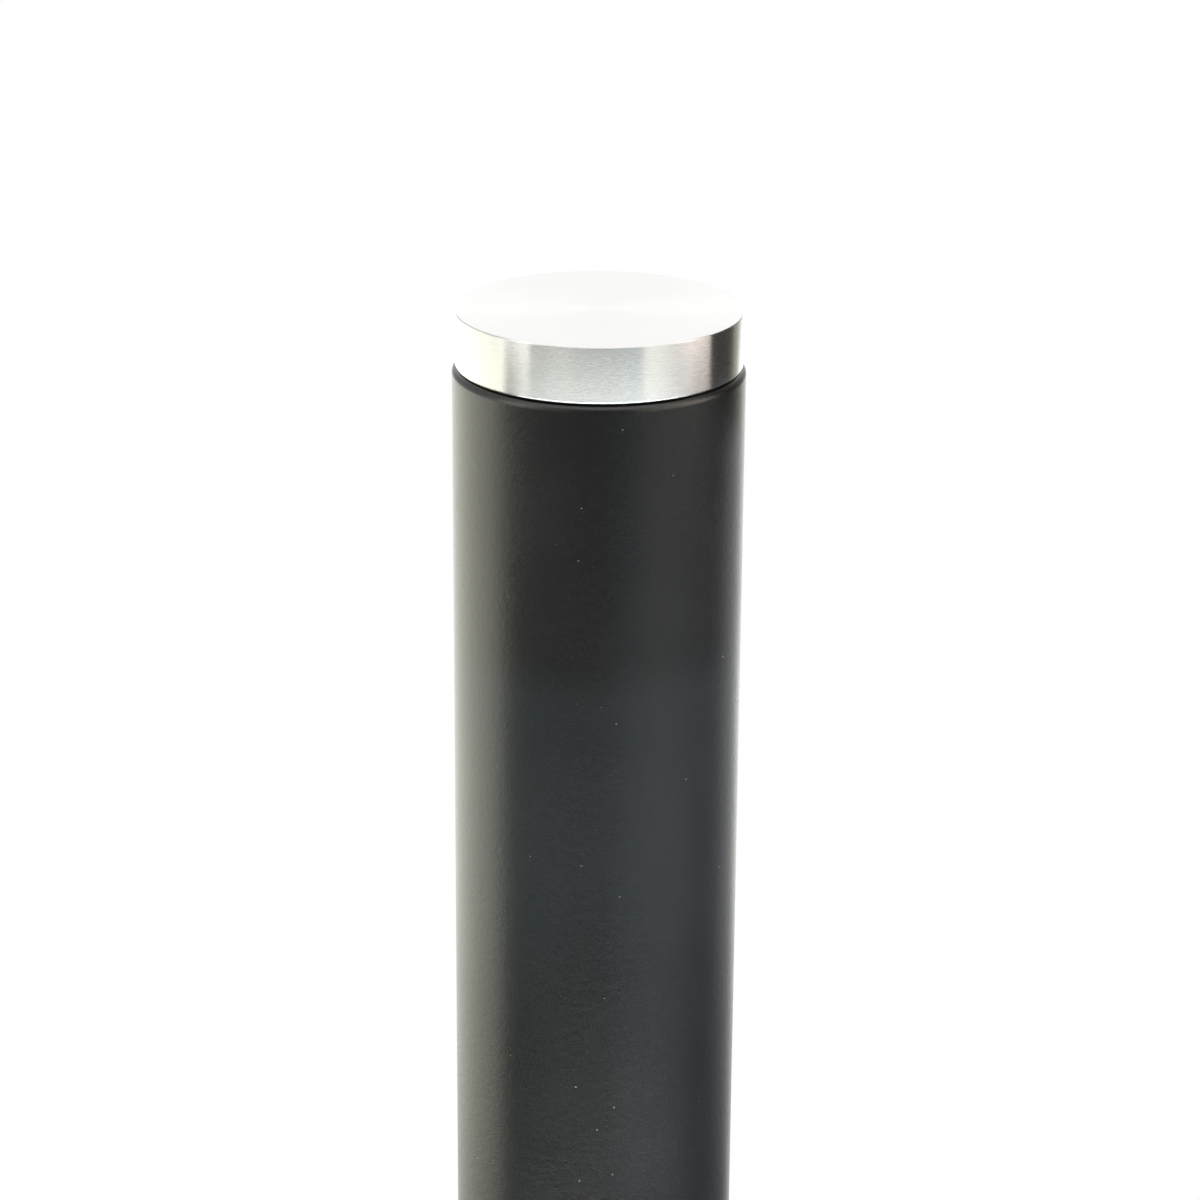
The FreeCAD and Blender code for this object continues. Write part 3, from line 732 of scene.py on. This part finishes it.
def round_plate(node, opening_r, hole_r, edge):
    """A round plate with an opening in its middle and a hole for each anchor."""
    loops = [ring_loop(0, 0, reach(node), ROUND)]
    loops.append(ring_loop(0, 0, opening_r, OPENING_ROUND, clockwise=True))
    count = ANCHORS["count"]
    for i in range(count):
        angle = TURN * (i + 0.5) / count
        x, y = ANCHOR_CIRCLE_R * math.cos(angle), ANCHOR_CIRCLE_R * math.sin(angle)
        loops.append(ring_loop(x, y, hole_r, HOLE_ROUND, clockwise=True))
    return plate(loops, bottom(node), top(node), edge)


def ground_pad(material):
    """The rubber pad, whose holes are 1 mm larger in radius than the plate's."""
    hole_r = ANCHOR_HOLE_R + 1 * MM
    piece = round_plate("ground_pad", opening_r=38 * MM, hole_r=hole_r, edge=0.2 * MM)
    return place_piece("pad", piece, material, "post", ["ground_pad"])


def base_plate(material):
    piece = round_plate("base_plate", opening_r=35 * MM, hole_r=ANCHOR_HOLE_R, edge=1.0 * MM)
    return place_piece("plate", piece, material, "post", ["base_plate"])


def base_weld(material):
    """The rippled fillet round the tube's foot."""
    mesh = bmesh.new()
    leg = top("base_weld") - bottom("base_weld")
    bead(mesh, round_stations(TUBE_R, PLATE_TOP, 1, 0, TURN, leg), leg, closed=True)
    return place_piece("foot_weld", mesh, material, "post", ["base_weld"], 60)


def gusset(side, angle, material):
    """A triangular stiffener with its inner corner cut away. All four are the right one, turned."""
    node = f"gusset_{side}"
    low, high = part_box("gusset_right")
    nose = 8 * MM
    edge = 0.6 * MM
    outline = [
        (low.x + GUSSET_SNIPE, low.z),
        (high.x, low.z),
        (high.x, low.z + nose),
        (low.x + nose, high.z),
        (low.x, high.z),
        (low.x, low.z + GUSSET_SNIPE),
    ]
    mesh = plate([outline], low.y, high.y, edge)
    # The outline is drawn flat, so it is stood up and turned to its side.
    stand = Matrix.Rotation(math.radians(90), 4, "X")
    mesh.transform(Matrix.Rotation(angle, 4, "Z") @ stand)
    return place_piece(f"stiffener_{side}", mesh, material, "post", [node])


def gusset_welds(material):
    """Rippled fillets on both sides of every gusset, along the plate and up the tube."""
    mesh = bmesh.new()
    low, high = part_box("gusset_right")
    leg = 4 * MM
    face = high.y
    tube_x = math.sqrt(TUBE_R**2 - face**2)
    upwards = Vector((0, 0, 1))
    for quarter in range(len(GUSSET_SIDES)):
        turn = Matrix.Rotation(TURN * quarter / len(GUSSET_SIDES), 3, "Z")
        outwards = turn @ Vector((1, 0, 0))
        for side in (1, -1):
            sideways = turn @ Vector((0, side, 0))
            start = turn @ Vector((low.x + GUSSET_SNIPE, side * face, PLATE_TOP))
            length = high.x - low.x - GUSSET_SNIPE
            stations = straight_stations(start, outwards, length, sideways, upwards, leg)
            bead(mesh, stations, leg, closed=False)
            along_tube = turn @ Vector((-face / TUBE_R, side * tube_x / TUBE_R, 0))
            start = turn @ Vector((tube_x, side * face, low.z + GUSSET_SNIPE))
            length = high.z - low.z - GUSSET_SNIPE
            stations = straight_stations(start, upwards, length, along_tube, outwards, leg)
            bead(mesh, stations, leg, closed=False)
    return place_piece(
        "stiffener_welds", mesh, material, "post", ["gusset_welds"], 60
    )


# ---------------------------------------------------------------- sliding cover

SHEET = 2 * MM
NECK_R = TUBE_R + 2.2 * MM


def base_cover(material):
    """The pressed cover: flat neck, sloping top, rounded shoulder and straight skirt."""
    low, high, outer_r = bottom("base_cover"), top("base_cover"), reach("base_cover")
    flat_r = NECK_R + 5.5 * MM
    fall = 6 * MM
    outer_round = 10 * MM
    edge = 0.5 * MM
    slope = math.atan2(fall, outer_r - flat_r)

    def shell(wall_r, ceiling, rounding):
        """One face of the sheet, from the neck's flat to the top of the skirt."""
        # The arc's centre is one radius in from the wall and one radius below the slope.
        centre_r = wall_r - rounding
        centre_z = ceiling - fall + rounding * math.tan(slope) - rounding / math.cos(slope)
        bend = math.degrees(slope)
        return [(flat_r, ceiling)] + arc((centre_r, centre_z), rounding, 90 - bend, 0, 20)

    outline = arc((NECK_R + edge, high - edge), edge, 180, 90, 4)
    outline += shell(outer_r, high, outer_round)
    outline += arc((outer_r - edge, low + edge), edge, 0, -90, 4)
    outline += arc((outer_r - SHEET + edge, low + edge), edge, -90, -180, 4)
    outline += reversed(shell(outer_r - SHEET, high - SHEET, outer_round - SHEET))
    outline += arc((NECK_R + edge, high - SHEET + edge), edge, -90, -180, 4)
    piece = lathe(outline, TUBE_ROUND)
    return place_piece("skirt", piece, material, "cover", ["base_cover"])


def cover_grommet(material):
    """The rubber ring in the cover's neck, with a rounded lip above and below the sheet."""
    low, high, lip_r = bottom("cover_grommet"), top("cover_grommet"), reach("cover_grommet")
    inner = TUBE_R + 0.4 * MM
    sheet_top = top("base_cover")
    lip_half = (high - sheet_top) / 2
    edge = 0.7 * MM
    outline = arc((inner + edge, low + edge), edge, 180, 270, 6)
    outline += arc((lip_r - lip_half, low + lip_half), lip_half, -90, 90, 10)
    outline += [(NECK_R, sheet_top - SHEET), (NECK_R, sheet_top)]
    outline += arc((lip_r - lip_half, sheet_top + lip_half), lip_half, -90, 90, 10)
    outline += arc((inner + edge, high - edge), edge, 90, 180, 6)
    piece = lathe(outline)
    return place_piece("neck_ring", piece, material, "cover", ["cover_grommet"])


# ---------------------------------------------------------------- studio

FLOOR_R = 30.0
FLOOR_SEGMENTS = 128
FLOOR_GAP = 0.2 * MM  # between the part's underside and the floor
FLOOR_PALE_R = 0.55  # the floor shades like a real one within this radius
FLOOR_WHITE_R = 1.25  # beyond this one it is as white as the backdrop


def studio_floor():
    """A pale floor that runs out into the white backdrop. It shows only to the camera."""
    mesh = bmesh.new()
    bmesh.ops.create_circle(mesh, cap_ends=True, segments=FLOOR_SEGMENTS, radius=FLOOR_R)
    floor = add_object("floor", mesh)
    floor.location.z = cad_low.z - FLOOR_GAP
    floor.visible_glossy = False
    floor.visible_diffuse = False
    floor.visible_shadow = False

    made, graph, shader, place = new_material("floor")
    shader.inputs["Base Color"].default_value = gray(0.62)
    shader.inputs["Roughness"].default_value = 0.9
    shader.inputs["Specular IOR Level"].default_value = 0.0
    distance = graph.add("ShaderNodeVectorMath", {0: place}, operation="LENGTH").outputs["Value"]
    far = graph.step(distance, FLOOR_PALE_R, FLOOR_WHITE_R)
    white = graph.add("ShaderNodeEmission", {"Color": gray(1.0), "Strength": 1.0})
    blend = graph.add("ShaderNodeMixShader", {0: far, 1: shader.outputs[0], 2: white.outputs[0]})
    output = next(n for n in made.node_tree.nodes if n.type == "OUTPUT_MATERIAL")
    graph.put(output.inputs["Surface"], blend.outputs[0])
    floor.data.materials.append(made)


ROOM = 0.06  # the light that comes from every side

# The studio's lights. Each is a colour, then its middle, half width and softness round the post, then
# its lower edge, upper edge and softness in elevation. Degrees; 0 is the front and 90 the right.
STUDIO_LIGHTS = [
    ("table", (8.4, 8.75, 8.4), 5.5, 95.5, 6, -100, -46, 10),
    ("backdrop", (1.19, 1.19, 1.19), 180, 28, 8, -34, 54, 12),
    ("backdrop foot", (1.05, 1.03, 0.97), 180, 32, 8, -24.5, -14, 8),
    ("ceiling", (1.4, 1.4, 1.4), 0, 190, 1, 54, 100, 12),
    ("left low", (1.55, 1.55, 1.22), -116, 34, 5, -30, -9, 10),
    ("left box", (0.17, 0.19, 0.16), -107, 27, 9, -28, 30, 8),
    ("left wall", (0.50, 0.49, 0.49), -116, 34, 3, -28, 50, 10),
    ("left panel", (2.25, 2.21, 2.06), -69, 13, 3, -6, 50, 8),
    ("front wall", (0.12, 0.13, 0.13), 6, 28, 3, -4, 50, 8),
    ("left corner", (0.5, 0.46, 0.42), -39, 17, 3, -6, 50, 8),
    ("left glow", (0.0, 0.16, 0.18), -47, 19, 12, -27, -22, 4),
    ("right glow", (0.52, 0.73, 0.99), 48, 32, 12, -27, -20, 4),
    ("right middle", (0.53, 0.28, 0.09), 50, 16, 10, -20, -16, 4),
    ("right foot", (0.36, 0.46, 0.60), 101, 21, 12, -27, -22, 4),
    ("right edge", (0.71, 0.73, 0.73), 135, 15, 8, -27, -12, 6),
    ("right wall", (1.5, 1.35, 1.2), 87, 25, 3, -6, 50, 8),
    ("flag side", (0.9, 0.78, 0.72), 92, 20, 8, -6, 50, 8),
    ("window", (1.22, 1.20, 1.05), 48, 13, 2, -6, 50, 8),
]


def studio_world():
    """Light by its direction, and a plain white backdrop that only the camera sees."""
    world = bpy.data.worlds.new("studio")
    bpy.context.scene.world = world
    world.use_nodes = True
    graph = Graph(world.node_tree)
    world.node_tree.nodes.clear()
    heading = graph.add("ShaderNodeTexCoord", {}).outputs["Generated"]
    x, y, z = graph.add("ShaderNodeSeparateXYZ", {0: heading}).outputs
    front = graph.scaled(y, -1.0)
    degrees = math.degrees(1)
    angle = graph.scaled(graph.math("ARCTAN2", x, front), degrees)
    rise = graph.scaled(graph.math("ARCSINE", z), degrees)

    light = (ROOM, ROOM, ROOM)
    for _, colour, middle, half, soft, low, high, rise_soft in STUDIO_LIGHTS:
        turned = graph.math("WRAP", graph.math("SUBTRACT", angle, middle), 180, -180)
        away = graph.math("ABSOLUTE", turned)
        across = graph.step(away, half + soft / 2, half - soft / 2)
        share = graph.math("MULTIPLY", across, graph.between(rise, low, high, rise_soft))
        glow = graph.add("ShaderNodeVectorMath", {0: colour, "Scale": share}, operation="SCALE")
        light = graph.add(
            "ShaderNodeVectorMath", {0: light, 1: glow.outputs[0]}, operation="ADD"
        ).outputs[0]

    seen = graph.add("ShaderNodeLightPath", {}).outputs["Is Camera Ray"]
    shown = graph.mix(seen, light, gray(1.0))
    background = graph.add("ShaderNodeBackground", {"Color": shown, "Strength": 1.0})
    output = graph.add("ShaderNodeOutputWorld", {})
    graph.put(output.inputs["Surface"], background.outputs[0])


# The dark card: how far it reaches below and above the part's top, its three upright edges as seen
# from above, and the tone of each of its two faces.
FLAG_BELOW_TOP = 66 * MM
FLAG_ABOVE_TOP = 110 * MM
FLAG_EDGES = ((138.1 * MM, -20.9 * MM), (118.6 * MM, 47.1 * MM), (100.9 * MM, 69.8 * MM))
FLAG_TONES = ((0.05, 0.05, 0.05, 1), (0.36, 0.35, 0.27, 1))


def dark_flag():
    """A black card with a tan part, beside the head. It shows only in reflections."""
    mesh = bmesh.new()
    rings = [
        [mesh.verts.new((x, y, height)) for x, y in FLAG_EDGES]
        for height in (cad_high.z - FLAG_BELOW_TOP, cad_high.z + FLAG_ABOVE_TOP)
    ]
    join_rings(mesh, rings, closed_along=False, closed_round=False)
    for index, face in enumerate(mesh.faces):
        face.material_index = index
    flag = add_object("flag", mesh)
    for tone in FLAG_TONES:
        made = bpy.data.materials.new("flag")
        made.use_nodes = True
        graph = Graph(made.node_tree)
        made.node_tree.nodes.clear()
        glow = graph.add("ShaderNodeEmission", {"Color": tone, "Strength": 1.0})
        output = graph.add("ShaderNodeOutputMaterial", {})
        graph.put(output.inputs["Surface"], glow.outputs[0])
        flag.data.materials.append(made)
    flag.visible_camera = False
    flag.visible_diffuse = False
    flag.visible_shadow = False


def soft_light():
    """A large overhead lamp that points at the foot, for a soft shadow there."""
    lamp = bpy.data.lights.new("overhead", "AREA")
    lamp.shape = "DISK"
    lamp.size = 1.6
    lamp.energy = 45
    light = bpy.data.objects.new("overhead", lamp)
    bpy.context.scene.collection.objects.link(light)
    light.location = (-1.3, 0.9, 2.9)
    light.rotation_mode = "QUATERNION"
    light.rotation_quaternion = (-light.location).to_track_quat("-Z", "Y")
    light.visible_glossy = False


# ---------------------------------------------------------------- scene

add_camera()
studio_world()
studio_floor()
dark_flag()
soft_light()
bpy.context.scene.view_settings.view_transform = "Standard"

post_coat = powder_coat("post_coat", nib_share=0.45, painted_sheen_top=SHEEN_TOP)
skirt_coat = powder_coat("skirt_coat", nib_share=0.35, painted_sheen_top=0.0)  # so no painted sheen shows on it
steel_side = turned_steel(
    "turned_side", rough=0.275, anisotropy=1.0, mark_tilt=0.25, band_height=16.0
)
steel_face = turned_steel(
    "turned_face", rough=0.30, anisotropy=0.5, mark_tilt=0.0, band_height=5.0
)
nylon = moulded("nylon", gray(0.006), gray(0.012), rough=0.5, grain_scale=1500, grain_height=8)
rubber = moulded(
    "rubber", (0.008, 0.008, 0.0085, 1), gray(0.016), rough=0.55, grain_scale=900, grain_height=10
)
pad_rubber = moulded(
    "pad_rubber",
    (0.010, 0.010, 0.011, 1),
    (0.026, 0.026, 0.025, 1),
    rough=0.8,
    grain_scale=500,
    grain_height=40,
)
primer = moulded(
    "primer",
    (0.30, 0.31, 0.31, 1),
    (0.40, 0.40, 0.395, 1),
    rough=0.7,
    grain_scale=1200,
    grain_height=25,
)
zinc = zinc_plate()

post_tube(post_coat)
cap(steel_side, steel_face)
cap_plug(nylon)
plug_seals(rubber)
bridge_bar(primer)
bridge_welds(primer)
cap_stud(zinc)
cap_washer(zinc)
cap_spring_washer(zinc)
cap_nut(zinc)

ground_pad(pad_rubber)
base_plate(post_coat)
base_weld(post_coat)
for quarter, side in enumerate(GUSSET_SIDES):
    gusset(side, TURN * quarter / len(GUSSET_SIDES), post_coat)
gusset_welds(post_coat)
base_cover(skirt_coat)
cover_grommet(rubber)
